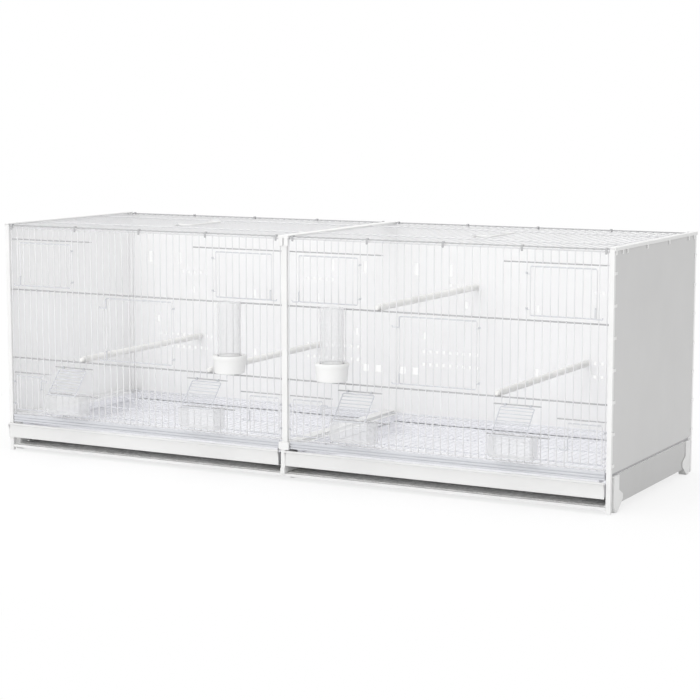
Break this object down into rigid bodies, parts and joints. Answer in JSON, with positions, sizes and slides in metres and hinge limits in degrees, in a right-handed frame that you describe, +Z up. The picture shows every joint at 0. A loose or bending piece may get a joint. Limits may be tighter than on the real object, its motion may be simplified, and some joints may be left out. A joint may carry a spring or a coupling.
{
  "type": "bird breeding cage",
  "caption": "Long breeding cage for small birds: white wire front with doors and feeding flaps, sheet back and sides, pull-out trays and floor grids, perches, cups and waterers.",
  "frame": {"origin": "on the ground under the middle of the whole object, waterers included", "axes": "+X along the length to the right as seen from the front, +Y from the front to the back, +Z up"},
  "size_m": [1.2036, 0.465, 0.4313],
  "materials": {
    "white_wire": "glossy white coating",
    "white_panel": "satin white sheet",
    "white_plastic": "smooth white",
    "clear_plastic": "clear",
    "galvanised": "dull galvanised"
  },
  "bodies": {
    "frame": {"back_panel_left": "white_panel", "back_panel_right": "white_panel", "base_sheet": "galvanised", "floor_beam": "white_wire", "foot_back_centre": "white_plastic", "foot_back_left": "white_plastic", "foot_back_right": "white_plastic", "foot_front_centre": "white_plastic", "foot_front_left": "white_plastic", "foot_front_right": "white_plastic", "front_grid_left": "white_wire", "front_grid_right": "white_wire", "front_rail": "white_wire", "lower_side_left": "white_panel", "lower_side_right": "white_panel", "post_back_centre": "white_plastic", "post_back_left": "white_plastic", "post_back_right": "white_plastic", "post_front_centre": "white_plastic", "post_front_left": "white_plastic", "post_front_right": "white_plastic", "side_panel_left": "white_panel", "side_panel_right": "white_panel", "top_crossbar": "white_plastic", "top_grid_left": "white_wire", "top_grid_right": "white_wire", "top_trim_left": "white_plastic", "top_trim_right": "white_plastic"},
    "upper_door_a_left": {"upper_door_a_left": "white_wire"},
    "upper_door_b_left": {"upper_door_b_left": "white_wire"},
    "middle_door_left": {"middle_door_left": "white_wire"},
    "corner_door_a_left": {"corner_door_a_left": "white_wire"},
    "corner_door_b_left": {"corner_door_b_left": "white_wire"},
    "feeding_flap_a_left": {"feeding_flap_a_left": "white_wire"},
    "feeder_cup_a_left": {"feeder_cup_a_left": "clear_plastic"},
    "feeding_flap_b_left": {"feeding_flap_b_left": "white_wire"},
    "feeder_cup_b_left": {"feeder_cup_b_left": "clear_plastic"},
    "waterer_cup_left": {"waterer_cup_left": "white_plastic"},
    "waterer_bottle_left": {"waterer_bottle_left": "clear_plastic"},
    "tray_left": {"tray_left": "white_plastic"},
    "floor_grid_left": {"floor_grid_left": "white_wire"},
    "handle_left": {"handle_left": "white_wire"},
    "upper_door_a_right": {"upper_door_a_right": "white_wire"},
    "upper_door_b_right": {"upper_door_b_right": "white_wire"},
    "middle_door_right": {"middle_door_right": "white_wire"},
    "corner_door_a_right": {"corner_door_a_right": "white_wire"},
    "corner_door_b_right": {"corner_door_b_right": "white_wire"},
    "feeding_flap_a_right": {"feeding_flap_a_right": "white_wire"},
    "feeder_cup_a_right": {"feeder_cup_a_right": "clear_plastic"},
    "feeding_flap_b_right": {"feeding_flap_b_right": "white_wire"},
    "feeder_cup_b_right": {"feeder_cup_b_right": "clear_plastic"},
    "waterer_cup_right": {"waterer_cup_right": "white_plastic"},
    "waterer_bottle_right": {"waterer_bottle_right": "clear_plastic"},
    "tray_right": {"tray_right": "white_plastic"},
    "floor_grid_right": {"floor_grid_right": "white_wire"},
    "handle_right": {"handle_right": "white_wire"},
    "perch_left_a": {"perch_left_a": "white_plastic"},
    "perch_left_b": {"perch_left_b": "white_plastic"},
    "perch_right_a": {"perch_right_a": "white_plastic"},
    "perch_right_b": {"perch_right_b": "white_plastic"}
  },
  "joints": [
    {"name": "upper_door_a_left_hinge", "type": "hinge", "parent": "frame", "child": "upper_door_a_left", "pos_m": [-0.4503, -0.1719, 0.31203], "axis": [0, 0, 1], "range_deg": [0, 110]},
    {"name": "upper_door_b_left_hinge", "type": "hinge", "parent": "frame", "child": "upper_door_b_left", "pos_m": [-0.1467, -0.1719, 0.31203], "axis": [0, 0, -1], "range_deg": [0, 110]},
    {"name": "middle_door_left_hinge", "type": "hinge", "parent": "frame", "child": "middle_door_left", "pos_m": [-0.2295, -0.1719, 0.18388], "axis": [0, 0, 1], "range_deg": [0, 110]},
    {"name": "corner_door_a_left_hinge", "type": "hinge", "parent": "frame", "child": "corner_door_a_left", "pos_m": [-0.5883, -0.1719, 0.0782], "axis": [0, 0, -1], "range_deg": [0, 90]},
    {"name": "corner_door_b_left_hinge", "type": "hinge", "parent": "frame", "child": "corner_door_b_left", "pos_m": [-0.0087, -0.1719, 0.0782], "axis": [0, 0, 1], "range_deg": [0, 90]},
    {"name": "feeding_flap_a_left_hinge", "type": "hinge", "parent": "frame", "child": "feeding_flap_a_left", "pos_m": [-0.451, -0.1719, 0.1654], "axis": [-1, 0, 0], "range_deg": [0, 45]},
    {"name": "feeder_cup_a_left_slide", "type": "slide", "parent": "frame", "child": "feeder_cup_a_left", "axis": [0, -1, 0], "range_m": [0, 0.06]},
    {"name": "feeding_flap_b_left_hinge", "type": "hinge", "parent": "frame", "child": "feeding_flap_b_left", "pos_m": [-0.159, -0.1719, 0.1654], "axis": [-1, 0, 0], "range_deg": [0, 45]},
    {"name": "feeder_cup_b_left_slide", "type": "slide", "parent": "frame", "child": "feeder_cup_b_left", "axis": [0, -1, 0], "range_m": [0, 0.06]},
    {"name": "waterer_cup_left_slide", "type": "slide", "parent": "frame", "child": "waterer_cup_left", "axis": [0, -1, 0], "range_m": [0, 0.08]},
    {"name": "waterer_bottle_left_lift", "type": "slide", "parent": "waterer_cup_left", "child": "waterer_bottle_left", "axis": [0, 0, 1], "range_m": [0, 0.05]},
    {"name": "tray_left_slide", "type": "slide", "parent": "frame", "child": "tray_left", "axis": [0, -1, 0], "range_m": [0, 0.36]},
    {"name": "floor_grid_left_slide", "type": "slide", "parent": "frame", "child": "floor_grid_left", "axis": [0, -1, 0], "range_m": [0, 0.36]},
    {"name": "handle_left_hinge", "type": "hinge", "parent": "frame", "child": "handle_left", "pos_m": [-0.30125, 0.00745, 0.4272], "axis": [0, -1, 0], "range_deg": [0, 180]},
    {"name": "upper_door_a_right_hinge", "type": "hinge", "parent": "frame", "child": "upper_door_a_right", "pos_m": [0.1467, -0.1719, 0.31203], "axis": [0, 0, 1], "range_deg": [0, 110]},
    {"name": "upper_door_b_right_hinge", "type": "hinge", "parent": "frame", "child": "upper_door_b_right", "pos_m": [0.4503, -0.1719, 0.31203], "axis": [0, 0, -1], "range_deg": [0, 110]},
    {"name": "middle_door_right_hinge", "type": "hinge", "parent": "frame", "child": "middle_door_right", "pos_m": [0.3675, -0.1719, 0.18388], "axis": [0, 0, 1], "range_deg": [0, 110]},
    {"name": "corner_door_a_right_hinge", "type": "hinge", "parent": "frame", "child": "corner_door_a_right", "pos_m": [0.0087, -0.1719, 0.0782], "axis": [0, 0, -1], "range_deg": [0, 90]},
    {"name": "corner_door_b_right_hinge", "type": "hinge", "parent": "frame", "child": "corner_door_b_right", "pos_m": [0.5883, -0.1719, 0.0782], "axis": [0, 0, 1], "range_deg": [0, 90]},
    {"name": "feeding_flap_a_right_hinge", "type": "hinge", "parent": "frame", "child": "feeding_flap_a_right", "pos_m": [0.146, -0.1719, 0.1654], "axis": [-1, 0, 0], "range_deg": [0, 45]},
    {"name": "feeder_cup_a_right_slide", "type": "slide", "parent": "frame", "child": "feeder_cup_a_right", "axis": [0, -1, 0], "range_m": [0, 0.06]},
    {"name": "feeding_flap_b_right_hinge", "type": "hinge", "parent": "frame", "child": "feeding_flap_b_right", "pos_m": [0.438, -0.1719, 0.1654], "axis": [-1, 0, 0], "range_deg": [0, 45]},
    {"name": "feeder_cup_b_right_slide", "type": "slide", "parent": "frame", "child": "feeder_cup_b_right", "axis": [0, -1, 0], "range_m": [0, 0.06]},
    {"name": "waterer_cup_right_slide", "type": "slide", "parent": "frame", "child": "waterer_cup_right", "axis": [0, -1, 0], "range_m": [0, 0.08]},
    {"name": "waterer_bottle_right_lift", "type": "slide", "parent": "waterer_cup_right", "child": "waterer_bottle_right", "axis": [0, 0, 1], "range_m": [0, 0.05]},
    {"name": "tray_right_slide", "type": "slide", "parent": "frame", "child": "tray_right", "axis": [0, -1, 0], "range_m": [0, 0.36]},
    {"name": "floor_grid_right_slide", "type": "slide", "parent": "frame", "child": "floor_grid_right", "axis": [0, -1, 0], "range_m": [0, 0.36]},
    {"name": "handle_right_hinge", "type": "hinge", "parent": "frame", "child": "handle_right", "pos_m": [0.30125, 0.00745, 0.4272], "axis": [0, -1, 0], "range_deg": [0, 180]},
    {"name": "perch_left_a_tilt", "type": "hinge", "parent": "frame", "child": "perch_left_a", "pos_m": [-0.4296, 0.2249, 0.18278], "axis": [-1, 0, 0], "range_deg": [0, 8]},
    {"name": "perch_left_b_tilt", "type": "hinge", "parent": "frame", "child": "perch_left_b", "pos_m": [-0.1536, 0.2249, 0.18278], "axis": [-1, 0, 0], "range_deg": [0, 8]},
    {"name": "perch_right_a_tilt", "type": "hinge", "parent": "frame", "child": "perch_right_a", "pos_m": [0.1812, 0.2249, 0.31093], "axis": [-1, 0, 0], "range_deg": [0, 8]},
    {"name": "perch_right_b_tilt", "type": "hinge", "parent": "frame", "child": "perch_right_b", "pos_m": [0.402, 0.2249, 0.18278], "axis": [-1, 0, 0], "range_deg": [0, 8]}
  ]
}
